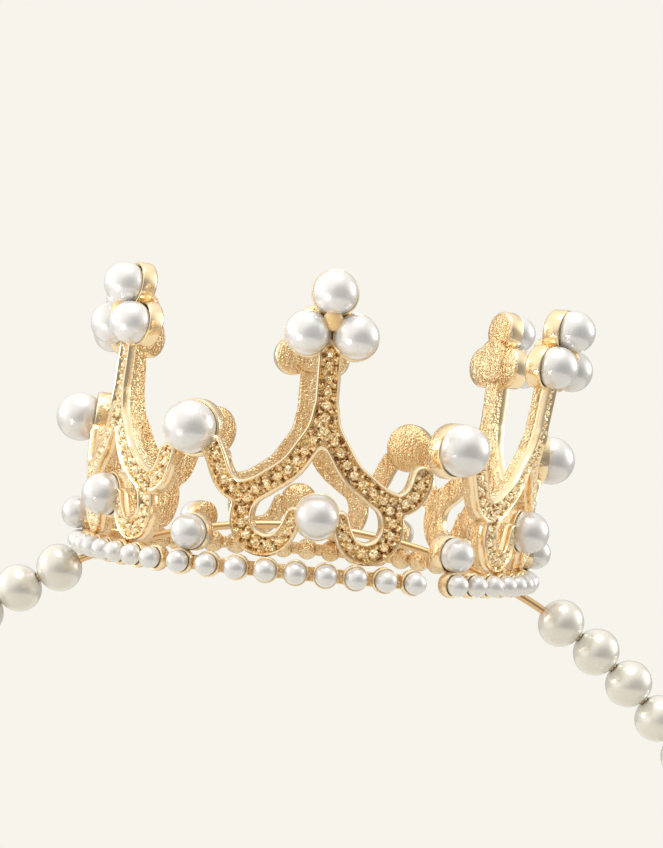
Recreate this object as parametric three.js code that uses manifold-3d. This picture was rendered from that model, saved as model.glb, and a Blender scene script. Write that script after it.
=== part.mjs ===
// A small open crown on a hairband.
//
// Six gilt castings, set with round pearls, close into a ring that stands on the middle of a
// spring wire. Both halves of the wire are threaded with loose pearl beads and end in a tip.
//
// Millimetres, +Z up, the crown's front towards -Y. The origin is the middle of the crown's
// flat underside, where the hairband rests on top of the head.

import * as THREE from 'three';
import { mergeVertices } from 'three/addons/utils/BufferGeometryUtils.js';
import Module from 'manifold-3d';

const wasm = await Module();
wasm.setup();

// ---- driving dimensions -------------------------------------------------------------------

const PANELS = 6;
const PANEL_TURN = 360 / PANELS;   // degrees from one casting to the next
const RING_R = 29.05;              // radius of the base pearls' line, in the middle of a casting
const BEND_R = 40.8;               // radius that each casting is bent to: flatter than the ring
const RIM_Z = 1.6;                 // height of the base pearls above the underside
const MOTIF = 1.85;                // from the middle of a casting's strip to its heart and stem
const TURN = [-1.5, 2.3, 1.6, 0.6, -0.6, -1.8];  // degrees that each casting is off its place
// How far the foot of each casting is pressed in at the side of the ring: a positive number is
// for the end that its places along the casting count towards.
const PRESSED = [0, 2.2, -2.2, 0, 1.5, -1.5];
// How each stem was bent: degrees outwards, degrees sideways, and share of its height.
const STEM_BENDS = [
  [-1.0, -0.8, 1], [4.1, 1.2, 0.968], [0.5, -0.5, 1.024], [0, 0, 1], [0, 0, 1], [-5.3, 0.9, 1],
];
const STRAIGHT = [0, 0, 1];
// How far each corner pearl is off its place, along the casting and upwards.
const CORNER_OFF = [[0.1, -0.15], [-0.35, 0], [0, 0], [0, 0], [0, 0], [0, 0]];
const BEND_FROM_Z = 11.6;         // height where those bends start

const BASE_PEARL_R = 1.25;
const BASE_PEARLS = 9;            // on each casting
const BASE_STEP = 3.4;            // from one base pearl to the next
const LOW_PEARL_R = 2.0;
const HEART_PEARL_R = 2.5;
const TIP_PEARL_R = 2.5;
const CORNER_PEARL_R = 3.0;

const PLATE = 2.1;                // thickness of the openwork, measured radially
const PLATE_FACE_R = 28.0;        // radius of the openwork's front at the base pearls' height
const PLATE_FLARE = 0.045;        // how much that radius grows with height
const RIBBON_W = 2.7;             // width of the openwork's bars
const STEM_W = 2.7;
const CURL_W = 2.4;

const WIRE_R = 0.5;
const WIRE_SIDES = 6;
const BAND_R = 62.3;              // radius of the arch that the wire follows
const BAND_TOP_Z = 5.8;           // height of the wire at the top of that arch
const ARM_FROM = 27.6;            // degrees along the arch where the free arms start
const BEAD_R = 3.0;
const BEAD_LENGTH = 5.4;          // along the wire
const BEAD_BORE_R = 0.8;
const BEAD_STEP = 5.2;            // degrees between beads
const FREE_BEADS = 4;             // on each side, modelled one by one
const ROWS = [7, 6];              // the beads beyond them, in two rows
const FIRST_BEAD = { left: 29.4, right: 31.35 };  // degrees along the arch
const TIP_FROM = 117.6;           // degrees along the arch where the end caps start
const TIP_R = 1.7;
const TIP_LENGTH = 4.6;
const SADDLE_X = { 1: 23.3, [-1]: 24.05 };  // middles of the saddles on the right and the left

const GAP = 0.3;                  // between pieces that touch on the real object
const SETTING_GAP = 0.2;          // between a pearl and the cup it is glued into

// ---- materials ----------------------------------------------------------------------------

const gilt = new THREE.MeshStandardMaterial({ color: 0xe3c48b, roughness: 0.3, metalness: 1 });
const giltWire = new THREE.MeshStandardMaterial({ color: 0xdcb978, roughness: 0.22, metalness: 1 });
const pearl = new THREE.MeshStandardMaterial({ color: 0xf1efec, roughness: 0.25, metalness: 0 });
const ivory = new THREE.MeshStandardMaterial({ color: 0xefebdd, roughness: 0.28, metalness: 0 });

// ---- helpers ------------------------------------------------------------------------------

const rad = THREE.MathUtils.degToRad;

function solid(geometry) {
  geometry.deleteAttribute('normal');
  geometry.deleteAttribute('uv');
  const merged = mergeVertices(geometry, 1e-4);
  return new wasm.Manifold(new wasm.Mesh({
    numProp: 3,
    vertProperties: merged.attributes.position.array,
    triVerts: new Uint32Array(merged.index.array),
  }));
}

function geometryOf(manifold) {
  const mesh = manifold.getMesh();
  const geometry = new THREE.BufferGeometry();
  geometry.setAttribute('position', new THREE.BufferAttribute(mesh.vertProperties, 3));
  geometry.setIndex(new THREE.BufferAttribute(mesh.triVerts, 1));
  geometry.computeVertexNormals();
  return geometry;
}

function join(parts) {
  return parts.reduce((whole, part) => whole.add(part));
}

function named(name, geometry, material) {
  const mesh = new THREE.Mesh(geometry, material);
  mesh.name = name;
  return mesh;
}

// A closed skin over rings of points. Each ring has the same number of points, anticlockwise
// as seen from beyond the last ring. The ends are closed flat, unless the rings close on
// themselves.
function skin(rings, closed = false) {
  const sides = rings[0].length;
  const points = rings.flat();
  const index = [];
  const spans = closed ? rings.length : rings.length - 1;
  for (let i = 0; i < spans; i += 1) {
    const here = i * sides;
    const next = ((i + 1) % rings.length) * sides;
    for (let j = 0; j < sides; j += 1) {
      const k = (j + 1) % sides;
      index.push(here + j, here + k, next + k, here + j, next + k, next + j);
    }
  }
  const last = (rings.length - 1) * sides;
  for (let j = 1; j < sides - 1 && !closed; j += 1) {
    index.push(0, j + 1, j, last, last + j, last + j + 1);
  }
  const geometry = new THREE.BufferGeometry().setFromPoints(points);
  geometry.setIndex(index);
  geometry.computeVertexNormals();
  return geometry;
}

// ---- places on the crown ------------------------------------------------------------------

// A point on the crown: along the casting in mm from its middle, at a height, and at a radius
// from the crown's axis, measured in the casting's middle. Above BEND_FROM_Z it is carried along
// with the stem's bend.
function onCrown(along, z, radius, [lean, sway, stretch] = STRAIGHT) {
  const above = Math.max(z - BEND_FROM_Z, 0);
  const out = BEND_R + radius - RING_R + above * Math.tan(rad(lean));
  const turn = (along + above * Math.tan(rad(sway))) / BEND_R;
  return new THREE.Vector3(
    out * Math.sin(turn),
    BEND_R - RING_R - out * Math.cos(turn),
    z + above * (stretch - 1),
  );
}

function plateFace(z) {
  return PLATE_FACE_R + PLATE_FLARE * (z - RIM_Z);
}

const BASE_Z = RIM_Z;
const LOW = { along: -13.05, z: 4.95, radius: 28.0 };
const CORNER = { along: -13.9, z: 16.8, radius: 28.7 };
const HEART = { along: MOTIF, z: 7.95, radius: 28.6 };
const TIP_TOP = { along: MOTIF, z: 32.8, radius: 30.4 };
const TIP_SIDE = { along: 2.7, z: 28.15, radius: 30.05 };
const TIPS = [
  TIP_TOP,
  { ...TIP_SIDE, along: MOTIF - TIP_SIDE.along },
  { ...TIP_SIDE, along: MOTIF + TIP_SIDE.along },
];
const baseAlong = Array.from({ length: BASE_PEARLS }, (_, i) => (
  BASE_STEP * (i - (BASE_PEARLS - 1) / 2)
));

// A point on a casting that is pressed in more and more towards one of its ends: most at the
// strip, less at the height of the curls, and not at all at the stem.
function onPressed(along, z, radius, pressed, bend = STRAIGHT) {
  const { smoothstep } = THREE.MathUtils;
  const share = (1 + (Math.sign(pressed) * along) / baseAlong[BASE_PEARLS - 1]) / 2;
  const here = 1 - 0.35 * smoothstep(z, 3.15, 5) - 0.65 * smoothstep(z, 15.5, 19.5);
  const inwards = Math.abs(pressed) * Math.max(share, 0) ** 2 * here;
  return onCrown(along - Math.sign(pressed) * 0.15 * inwards, z, radius - inwards, bend);
}

// ---- pieces of a casting ------------------------------------------------------------------

// A flat bar along a smooth line over the crown, from the openwork's back to its front. It
// tapers to its end width over its last quarter.
function bar(line, width, endWidth, steps, bend, pressed) {
  const curve = new THREE.CatmullRomCurve3(line.map(([a, z]) => new THREE.Vector3(a, z, 0)));
  const rings = [];
  for (let i = 0; i <= steps; i += 1) {
    const t = i / steps;
    const middle = curve.getPoint(t);
    const ahead = curve.getTangent(t);
    const half = THREE.MathUtils.lerp(width, endWidth, Math.max(4 * t - 3, 0)) / 2;
    const side = new THREE.Vector3(-ahead.y, ahead.x, 0).multiplyScalar(half);
    const left = middle.clone().add(side);
    const right = middle.clone().sub(side);
    const corner = (p, back) => onPressed(p.x, p.y, plateFace(p.y) - back, pressed, bend);
    rings.push([corner(left, 0), corner(right, 0), corner(right, PLATE), corner(left, PLATE)]);
  }
  return solid(skin(rings));
}

// A turned shape whose axis points outwards from the crown, from [radius, outwards] points.
function turned(profile, sides, place, bend = STRAIGHT) {
  const points = profile.map(([r, out]) => new THREE.Vector2(r, out));
  const geometry = new THREE.LatheGeometry(points, sides);
  geometry.rotateY(Math.PI / sides);
  geometry.rotateX(Math.PI);
  const middle = onCrown(place.along, place.z, place.radius, bend);
  geometry.rotateZ(place.along / BEND_R);
  geometry.translate(middle.x, middle.y, middle.z);
  return solid(geometry);
}

// The cup under a pearl: a domed back, a straight wall and a hollow that follows the pearl.
function cup(pearlR, place, depth, bend = STRAIGHT) {
  const wall = pearlR * 1.07;
  const rim = -pearlR * 0.44;
  const hollow = pearlR + SETTING_GAP;
  return turned([
    [0, -depth],
    [wall, -depth * 0.7],
    [wall, rim],
    [hollow * 0.9, rim],
    [hollow * 0.62, -hollow * 0.82],
    [0, -hollow],
  ], 8, place, bend);
}

// The strip behind the nine small pearls, with a flat underside. It is lower at its two ends.
function baseStrip(pressed) {
  const reach = baseAlong[BASE_PEARLS - 1];
  const outline = [
    [-reach - 0.95, 0.9], [-reach - 0.4, BASE_Z], ...baseAlong.slice(1, -1).map((a) => [a, BASE_Z]),
    [reach + 0.4, BASE_Z], [reach + 0.95, 0.9],
  ];
  const front = RING_R - BASE_PEARL_R - SETTING_GAP;
  const back = 26.45;
  const rings = outline.map(([along, half]) => {
    const corner = (z, radius) => onPressed(along, z, radius, pressed);
    const top = BASE_Z + half;
    const bottom = BASE_Z - half;
    return [corner(top, front), corner(bottom, front), corner(bottom, back), corner(top, back)];
  });
  return solid(skin(rings));
}

// One side of the heart: from the stem down the outside, round the foot and up to the pearl.
const HEART_LINE = [
  [0.2, 18.6], [1.0, 16.9], [1.95, 15.4], [3.5, 13.2], [6.0, 11.3], [8.1, 9.8],
  [8.8, 7.2], [7.9, 5.1], [6.1, 4.3], [4.3, 4.8], [3.4, 6.3], [3.1, 7.9],
];
const HEART_TIP_W = 1.2;
// The curls that leave the heart's shoulders. The left one rises to the corner cup, and the
// right one stops short of the next casting's.
const LEFT_CURL = [[8.1, 10.2], [9.7, 10.1], [11.0, 10.9], [11.8, 12.2], [12.1, 13.7], [12.7, 15.2]];
const RIGHT_CURL = [[8.1, 10.2], [9.7, 10.1], [10.9, 10.9], [11.5, 12.4]];

function openwork(bend, pressed) {
  const place = (line, side) => line.map(([a, z]) => [MOTIF + side * a, z]);
  const stemLine = place([[0, 17.2], [0, 22], [0, 25.9]], 1);
  const stem = bar(stemLine, STEM_W, STEM_W, 3, bend, pressed);
  const parts = [stem];
  for (const side of [-1, 1]) {
    parts.push(bar(place(HEART_LINE, side), RIBBON_W, HEART_TIP_W, 12, bend, pressed));
  }
  parts.push(bar(place(LEFT_CURL, -1), CURL_W, CURL_W, 6, STRAIGHT, pressed));
  parts.push(bar(place(RIGHT_CURL, 1), CURL_W, CURL_W, 4, STRAIGHT, pressed));
  return join(parts);
}

// The three-lobed plate behind the pearls at the tip of the stem.
function tipPlate(bend) {
  const lobe = TIP_PEARL_R * 1.07;
  const middleZ = TIP_SIDE.z + 1.5;
  const outline = [];
  for (const heading of [90, 210, 330]) {
    for (const step of [-60, -20, 20, 60]) {
      const a = rad(heading + step);
      outline.push([
        MOTIF + 3.1 * Math.cos(rad(heading)) + lobe * Math.cos(a),
        middleZ + 3.1 * Math.sin(rad(heading)) + lobe * Math.sin(a),
      ]);
    }
  }
  const layer = (radius) => outline.map(([along, z]) => onCrown(along, z, radius, bend));
  return solid(skin([layer(26.0), layer(TIP_SIDE.radius - TIP_PEARL_R - SETTING_GAP)]));
}

// The cup of the low pearl reaches further back where the strip below it is pressed in.
function casting(bend, pressed, corner) {
  const lowDepth = 3.1 + 0.55 * Math.max(-pressed, 0);
  return join([
    openwork(bend, pressed),
    baseStrip(pressed),
    tipPlate(bend),
    cup(LOW_PEARL_R, LOW, lowDepth),
    cup(CORNER_PEARL_R, corner, 4.3),
    cup(HEART_PEARL_R, HEART, 3.5),
  ]);
}

// ---- pearls -------------------------------------------------------------------------------

function ball(radius, place, bend = STRAIGHT) {
  const geometry = new THREE.SphereGeometry(radius, 8, 5);
  geometry.rotateY(Math.PI / 8);
  const middle = onCrown(place.along, place.z, place.radius, bend);
  geometry.rotateZ(place.along / BEND_R);
  geometry.translate(middle.x, middle.y, middle.z);
  return solid(geometry);
}

// Three pearls, held together by the drop of glue between them.
function tipPearls(bend) {
  const glue = { along: MOTIF, z: TIP_SIDE.z + 1.53, radius: 30.6 };
  return join([ball(1.15, glue, bend), ...TIPS.map((place) => ball(TIP_PEARL_R, place, bend))]);
}

// A ring of points round a middle: out and n are the two unit vectors that it is drawn with.
function ringOf(middle, out, n, r, sides) {
  return Array.from({ length: sides }, (_, j) => {
    const a = (2 * Math.PI * (j + 0.5)) / sides;
    const reach = out.clone().multiplyScalar(Math.cos(a)).addScaledVector(n, Math.sin(a));
    return middle.clone().addScaledVector(reach, r);
  });
}

// The rings of beads threaded on an arc: arc has a middle, a radius, two unit vectors u and v
// that its angle turns between, and their normal n. Each bead's outline is [offset, radius].
function beadRings(arc, angles, outline, sides) {
  const ring = (angle, r) => {
    const out = arc.u.clone().multiplyScalar(Math.cos(angle));
    out.addScaledVector(arc.v, Math.sin(angle));
    const middle = arc.middle.clone().addScaledVector(out, arc.radius);
    return ringOf(middle, out, arc.n, r, sides);
  };
  return angles.flatMap((angle) => (
    outline.map(([offset, r]) => ring(angle + offset / arc.radius, r))
  ));
}

// The nine small pearls of a casting, held together by the line of glue behind them.
function basePearls(pressed) {
  const r = BASE_PEARL_R;
  const outline = [[-0.97 * r, 0.3], [0, r], [0.97 * r, 0.3]];
  const down = new THREE.Vector3(0, 0, -1);
  return skin(baseAlong.flatMap((place) => outline.map(([offset, ringR]) => {
    const along = place + offset;
    const middle = onPressed(along, BASE_Z, RING_R, pressed);
    const out = new THREE.Vector3(Math.sin(along / BEND_R), -Math.cos(along / BEND_R), 0);
    return ringOf(middle, out, down, ringR, 6);
  })));
}

// ---- the hairband -------------------------------------------------------------------------

// The arch, from its top down the side: 1 is the right (+X), -1 the left.
function archOf(side) {
  return {
    middle: new THREE.Vector3(0, 0, BAND_TOP_Z - BAND_R),
    radius: BAND_R,
    u: new THREE.Vector3(0, 0, 1),
    v: new THREE.Vector3(side, 0, 0),
    n: new THREE.Vector3(0, -side, 0),
  };
}

function wire(side, from, to, steps) {
  const arch = archOf(side);
  const angles = Array.from({ length: steps + 1 }, (_, i) => rad(from + ((to - from) * i) / steps));
  return skin(beadRings(arch, angles, [[0, WIRE_R]], WIRE_SIDES));
}

// Beads in a row, joined at their ends, with one hole right through.
function beadRow(side, first, count) {
  const arch = archOf(side);
  const half = BEAD_LENGTH / 2;
  const outline = [[-half, 1.3], [-half * 0.52, 2.75], [half * 0.52, 2.75], [half, 1.3]];
  const angles = Array.from({ length: count }, (_, i) => rad(first + BEAD_STEP * i));
  const outer = beadRings(arch, angles, outline, 8);
  const starts = beadRings(arch, angles, [[-half, BEAD_BORE_R]], 8);
  const end = beadRings(arch, angles.slice(-1), [[half, BEAD_BORE_R]], 8);
  return skin([...outer, ...end, ...starts.reverse()], true);
}

// A round-ended cap on the end of the wire, with a socket that the wire goes into.
function tipCap(side) {
  const socket = 3;
  const r = TIP_R;
  const profile = [
    [0, socket], [WIRE_R + GAP, socket], [WIRE_R + GAP, 0],
    [r * 0.8, 0], [r, 0.5], [r, TIP_LENGTH - 1.3], [r * 0.7, TIP_LENGTH - 0.3], [0, TIP_LENGTH],
  ];
  const geometry = new THREE.LatheGeometry(profile.map(([x, y]) => new THREE.Vector2(x, y)), 10);
  const arch = archOf(side);
  const angle = rad(TIP_FROM);
  const out = arch.u.clone().multiplyScalar(Math.cos(angle)).addScaledVector(arch.v, Math.sin(angle));
  const start = arch.middle.clone().addScaledVector(out, BAND_R);
  const along = arch.v.clone().multiplyScalar(Math.cos(angle)).addScaledVector(arch.u, -Math.sin(angle));
  geometry.applyQuaternion(new THREE.Quaternion().setFromUnitVectors(new THREE.Vector3(0, 1, 0), along));
  geometry.translate(start.x, start.y, start.z);
  return geometryOf(solid(geometry));
}

// The channel that the wire passes through on its way out under the ring. It is open below.
function wireChannel(side) {
  const half = WIRE_R + GAP;
  return solid(skin([18, 21, 24, 27.5].map((angle) => {
    const x = side * (BAND_R + half) * Math.sin(rad(angle));
    const top = BAND_TOP_Z - BAND_R + (BAND_R + half) * Math.cos(rad(angle));
    return [[-half, top], [-half, -2], [half, -2], [half, top]].map(([y, z]) => (
      new THREE.Vector3(x, side * y, z)
    ));
  })));
}

// The saddle that ties the wire to the crown: a block on the inside of the ring, over a joint
// between two castings.
function saddle(side) {
  const block = solid(new THREE.BoxGeometry(2.7, 3.2, 3).translate(side * SADDLE_X[side], 0, 1.8));
  return geometryOf(block.subtract(wireChannel(side)));
}

// ---- assembly -----------------------------------------------------------------------------

const model = new THREE.Group();
model.name = 'crown_hairband';

for (let k = 0; k < PANELS; k += 1) {
  const number = k + 1;
  const bend = STEM_BENDS[k];
  const pressed = PRESSED[k];
  const turn = PANEL_TURN * k + TURN[k];
  const [aside, up] = CORNER_OFF[k];
  const corner = { ...CORNER, along: CORNER.along + aside, z: CORNER.z + up };
  let metal = casting(bend, pressed, corner);
  if (pressed) {
    const side = Math.sign(Math.sin(rad(turn)));
    metal = metal.subtract(wireChannel(side).rotate([0, 0, -turn]));
  }
  const panel = new THREE.Group();
  panel.rotation.z = rad(turn);
  panel.add(
    named(`casting_${number}`, geometryOf(metal), gilt),
    named(`base_pearls_${number}`, basePearls(pressed), pearl),
    named(`low_pearl_${number}`, geometryOf(ball(LOW_PEARL_R, LOW)), pearl),
    named(`corner_pearl_${number}`, geometryOf(ball(CORNER_PEARL_R, corner)), pearl),
    named(`heart_pearl_${number}`, geometryOf(ball(HEART_PEARL_R, HEART)), pearl),
    named(`tip_pearls_${number}`, geometryOf(tipPearls(bend)), pearl),
  );
  model.add(panel);
}

const gapTurn = THREE.MathUtils.radToDeg(GAP / BAND_R);
const middleWire = beadRings(
  archOf(1),
  Array.from({ length: 15 }, (_, i) => rad(ARM_FROM * ((2 * i) / 14 - 1))),
  [[0, WIRE_R]],
  WIRE_SIDES,
);
model.add(named('wire_middle', skin(middleWire), giltWire));

for (const [hand, side] of [['left', -1], ['right', 1]]) {
  const first = FIRST_BEAD[hand];
  model.add(named(`${hand}_saddle`, saddle(side), gilt));
  model.add(named(`${hand}_arm_wire`, wire(side, ARM_FROM + gapTurn, TIP_FROM + 2.4, 20), giltWire));
  model.add(named(`${hand}_tip`, tipCap(side), gilt));
  for (let i = 0; i < FREE_BEADS; i += 1) {
    const bead = beadRow(side, first + BEAD_STEP * i, 1);
    model.add(named(`${hand}_bead_${i + 1}`, bead, ivory));
  }
  let next = FREE_BEADS;
  ROWS.forEach((count, i) => {
    const row = beadRow(side, first + BEAD_STEP * next, count);
    model.add(named(`${hand}_bead_row_${i + 1}`, row, ivory));
    next += count;
  });
}

export default model;
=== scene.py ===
"""The looks of a small pearl-set crown on a beaded hairband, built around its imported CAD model."""

import math

import bmesh
import bpy
import numpy as np
from mathutils import Matrix, Vector
from mathutils.geometry import delaunay_2d_cdt


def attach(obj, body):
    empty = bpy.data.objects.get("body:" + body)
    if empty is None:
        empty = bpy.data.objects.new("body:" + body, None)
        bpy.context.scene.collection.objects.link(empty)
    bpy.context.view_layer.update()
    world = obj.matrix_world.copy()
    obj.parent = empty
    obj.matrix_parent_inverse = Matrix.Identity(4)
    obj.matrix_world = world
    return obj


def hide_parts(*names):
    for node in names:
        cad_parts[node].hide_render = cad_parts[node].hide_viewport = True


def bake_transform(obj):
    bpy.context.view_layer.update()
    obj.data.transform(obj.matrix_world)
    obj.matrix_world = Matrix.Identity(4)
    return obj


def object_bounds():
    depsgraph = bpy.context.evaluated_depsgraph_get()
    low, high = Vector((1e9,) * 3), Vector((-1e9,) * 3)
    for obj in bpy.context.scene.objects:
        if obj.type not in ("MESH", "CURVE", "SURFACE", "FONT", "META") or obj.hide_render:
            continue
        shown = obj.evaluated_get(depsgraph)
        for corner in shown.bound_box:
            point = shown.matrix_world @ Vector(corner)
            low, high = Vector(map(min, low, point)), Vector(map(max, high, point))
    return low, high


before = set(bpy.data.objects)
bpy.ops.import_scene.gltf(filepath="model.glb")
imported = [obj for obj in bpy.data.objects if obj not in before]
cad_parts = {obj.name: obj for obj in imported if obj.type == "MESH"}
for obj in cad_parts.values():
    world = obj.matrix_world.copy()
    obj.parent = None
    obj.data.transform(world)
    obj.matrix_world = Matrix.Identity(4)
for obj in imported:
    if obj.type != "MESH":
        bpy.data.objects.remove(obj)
cad_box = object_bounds()

# ---- dimensions, in mm, the same as the CAD model's ---------------------------------------

MM = 0.001
PANELS = 6
PANEL_TURN = 60.0        # degrees from one casting to the next
TURN = [-1.5, 2.3, 1.6, 0.6, -0.6, -1.8]  # degrees that each casting is off its place
# How far the foot of each casting is pressed in at the side of the ring: a positive number is
# for the end that its places along the casting count towards.
PRESSED = [0, 2.2, -2.2, 0, 1.5, -1.5]
MOTIF = 1.85             # from the middle of a casting's strip to its heart and stem
RING_R = 29.05           # radius of the base pearls' line, in the middle of a casting
BEND_R = 40.8            # radius that each casting is bent to: flatter than the ring
RIM_Z = 1.6              # height of the base pearls
# How each stem was bent: degrees outwards, degrees sideways, and share of its height.
STEM_BENDS = [
    (-1.0, -0.8, 1), (4.1, 1.2, 0.968), (0.5, -0.5, 1.024), (0, 0, 1), (0, 0, 1), (-5.3, 0.9, 1),
]
STRAIGHT = (0, 0, 1)
# How far each corner pearl is off its place, along the casting and upwards.
CORNER_OFF = [(0.1, -0.15), (-0.35, 0), (0, 0), (0, 0), (0, 0), (0, 0)]
BEND_FROM_Z = 11.6

BASE_R = 1.25            # radii of the pearls
LOW_R = 2.0
HEART_R = 2.5
TIP_R = 2.5
CORNER_R = 3.0
BASE_PEARLS = 9          # on each casting
BASE_STEP = 3.4          # from one base pearl to the next

PLATE_FACE_R = 28.0      # radius of the openwork's front at the base pearls' height
PLATE_FLARE = 0.045      # how much that radius grows with height
RIBBON_W = 2.7           # widths of the openwork's bars
STEM_W = 2.7
CURL_W = 2.55

WIRE_R = 0.5
BAND_R = 62.3            # radius of the arch that the wire follows
BAND_TOP_Z = 5.8         # height of the wire at the top of that arch
MIDDLE_TO = 24.2         # degrees along the arch where the middle of the wire ends
ARM_FROM = 24.0          # and where the free arm starts
ARM_BLEND = (26.4, 28.8)  # degrees along the arch; their points are worked out below but not used
BEAD_R = 3.0
BEAD_STEP = 5.2          # degrees between beads
FREE_BEADS = 4           # on each side, one piece each
ROWS = [7, 6]            # the beads beyond them, in two rows
FIRST_BEAD = {"left": 29.4, "right": 31.35}
TIP_FROM = 117.6         # degrees along the arch where the end caps start
TIP_LENGTH = 4.6
SADDLE_X = {1: 23.3, -1: 24.05}

# Where the pearls of one casting stand: along it, height, radius.
LOW = (-13.05, 4.95, 28.0)
CORNER = (-13.9, 16.8, 28.7)
HEART = (MOTIF, 7.95, 28.6)
TIPS = [(MOTIF, 32.8, 30.4), (MOTIF - 2.7, 28.15, 30.05), (MOTIF + 2.7, 28.15, 30.05)]
BASE = [(BASE_STEP * (i - (BASE_PEARLS - 1) / 2), RIM_Z, RING_R) for i in range(BASE_PEARLS)]


# ---- places on the crown ------------------------------------------------------------------

def on_crown(points, bend=STRAIGHT, turn=0.0):
    """(along, height, radius) points in mm, as points in metres in the row frame."""
    lean, sway, stretch = bend
    along, z, radius = np.asarray(points, float).reshape(-1, 3).T
    above = np.maximum(z - BEND_FROM_Z, 0)
    out = BEND_R + radius - RING_R + above * math.tan(math.radians(lean))
    angle = (along + above * math.tan(math.radians(sway))) / BEND_R
    x, y = out * np.sin(angle), BEND_R - RING_R - out * np.cos(angle)
    t = math.radians(turn)
    return np.stack([
        x * math.cos(t) - y * math.sin(t), x * math.sin(t) + y * math.cos(t),
        z + above * (stretch - 1),
    ], 1) * MM


def smooth(x, low, high):
    t = np.clip((x - low) / (high - low), 0, 1)
    return t * t * (3 - 2 * t)


def pressing(along, z, pressed):
    """How far in a casting is pressed at a place: most at its strip, not at all at its stem."""
    share = np.maximum((1 + np.sign(pressed) * along / BASE[-1][0]) / 2, 0)
    return abs(pressed) * share ** 2 * (1 - 0.35 * smooth(z, 3.15, 5) - 0.65 * smooth(z, 15.5, 19.5))


def pressed_in(points, pressed):
    """(along, height, radius) points, pressed in towards the casting's side end."""
    along, z, radius = np.asarray(points, float).reshape(-1, 3).T
    inwards = pressing(along, z, pressed)
    return np.stack([along - np.sign(pressed) * 0.15 * inwards, z, radius - inwards], 1)


def unpressed(points, pressed):
    """Where pressed points were before."""
    along, z, radius = np.asarray(points, float).reshape(-1, 3).T
    before = along
    for _ in range(3):
        inwards = pressing(before, z, pressed)
        before = along + np.sign(pressed) * 0.15 * inwards
    return np.stack([before, z, radius + inwards], 1)


def plate_face(z):
    return PLATE_FACE_R + PLATE_FLARE * (z - RIM_Z)


def smooth_line(points, spacing):
    """A centripetal Catmull-Rom line through points, sampled about every spacing."""
    p = np.asarray(points, float)
    p = np.vstack([2 * p[0] - p[1], p, 2 * p[-1] - p[-2]])
    out = []
    for i in range(1, len(p) - 2):
        p0, p1, p2, p3 = p[i - 1:i + 3]
        knots = [0.0]
        for a, b in ((p0, p1), (p1, p2), (p2, p3)):
            knots.append(knots[-1] + max(np.linalg.norm(b - a), 1e-6) ** 0.5)
        t0, t1, t2, t3 = knots
        steps = max(int(np.linalg.norm(p2 - p1) / spacing), 2)
        for t in np.linspace(t1, t2, steps, endpoint=False):
            a1 = ((t1 - t) * p0 + (t - t0) * p1) / (t1 - t0)
            a2 = ((t2 - t) * p1 + (t - t1) * p2) / (t2 - t1)
            a3 = ((t3 - t) * p2 + (t - t2) * p3) / (t3 - t2)
            b1 = ((t2 - t) * a1 + (t - t0) * a2) / (t2 - t0)
            b2 = ((t3 - t) * a2 + (t - t1) * a3) / (t3 - t1)
            out.append(((t2 - t) * b1 + (t - t1) * b2) / (t2 - t1))
    out.append(p[-2])
    return np.array(out)


# ---- the openwork's outline, as a field of distances --------------------------------------

HEART_LINE = [
    (0.1, 19.6), (0.75, 17.4), (1.95, 15.4), (3.5, 13.2), (6.0, 11.3), (8.05, 9.8),
    (8.8, 7.2), (7.9, 5.1), (6.1, 4.3), (4.3, 4.8), (3.25, 6.2), (2.7, 7.9),
]
HEART_TIP_W = 1.9
LEFT_CURL = [(8.1, 10.2), (9.6, 10.1), (10.9, 10.9), (11.7, 12.2), (12.2, 13.4), (12.9, 14.8)]
RIGHT_CURL = [(8.1, 10.2), (9.6, 10.1), (10.9, 10.9), (11.6, 12.2), (11.9, 13.4)]
STEM_LINE = [(0, 17.0), (0, 21.0), (0, 24.5), (0, 27.6)]
GRID = 0.1               # spacing of the distance field
FIELD_FROM = np.array([MOTIF - 16.0, 0.5])
FIELD_SIZE = (320, 280)


def mirrored(line, side):
    return [(MOTIF + side * a, z) for a, z in line]


def bars():
    """Every bar of the openwork: its line and its half width at each of the line's points."""
    out = []

    def add(line, width, end_width=None):
        line = smooth_line(line, 0.2)
        t = np.linspace(0, 1, len(line))
        half = np.full(len(line), width / 2)
        if end_width:
            half += (end_width - width) / 2 * np.maximum(4 * t - 3, 0)
        out.append((line, half))

    add(mirrored(STEM_LINE, 1), STEM_W)
    stem, half = out[0]
    clear = np.sqrt(np.maximum(2.5 ** 2 - (TIPS[1][1] - stem[:, 1]) ** 2, 0))
    half[:] = np.clip(2.7 - clear, 0.12, STEM_W / 2)
    for side in (-1, 1):
        add(mirrored(HEART_LINE, side), RIBBON_W, HEART_TIP_W)
        add(mirrored(LEFT_CURL if side < 0 else RIGHT_CURL, side), CURL_W)
    return out


def blended(a, b, fillet):
    """The union of two distance fields, with a fillet where they meet."""
    h = np.maximum(fillet - np.abs(a - b), 0) / fillet
    return np.minimum(a, b) - h * h * fillet / 4


def outline_field():
    xs = FIELD_FROM[0] + GRID * np.arange(FIELD_SIZE[0])
    zs = FIELD_FROM[1] + GRID * np.arange(FIELD_SIZE[1])
    a, z = np.meshgrid(xs, zs, indexing="ij")
    field = np.full(a.shape, 9.0)
    for line, half in bars():
        own = np.full(a.shape, 9.0)
        for (p, q, h0, h1) in zip(line[:-1], line[1:], half[:-1], half[1:]):
            d = q - p
            t = np.clip(((a - p[0]) * d[0] + (z - p[1]) * d[1]) / (d @ d), 0, 1)
            near = np.hypot(a - p[0] - t * d[0], z - p[1] - t * d[1])
            own = np.minimum(own, near - h0 - (h1 - h0) * t)
        field = blended(field, own, 0.5)
    return field


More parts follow.
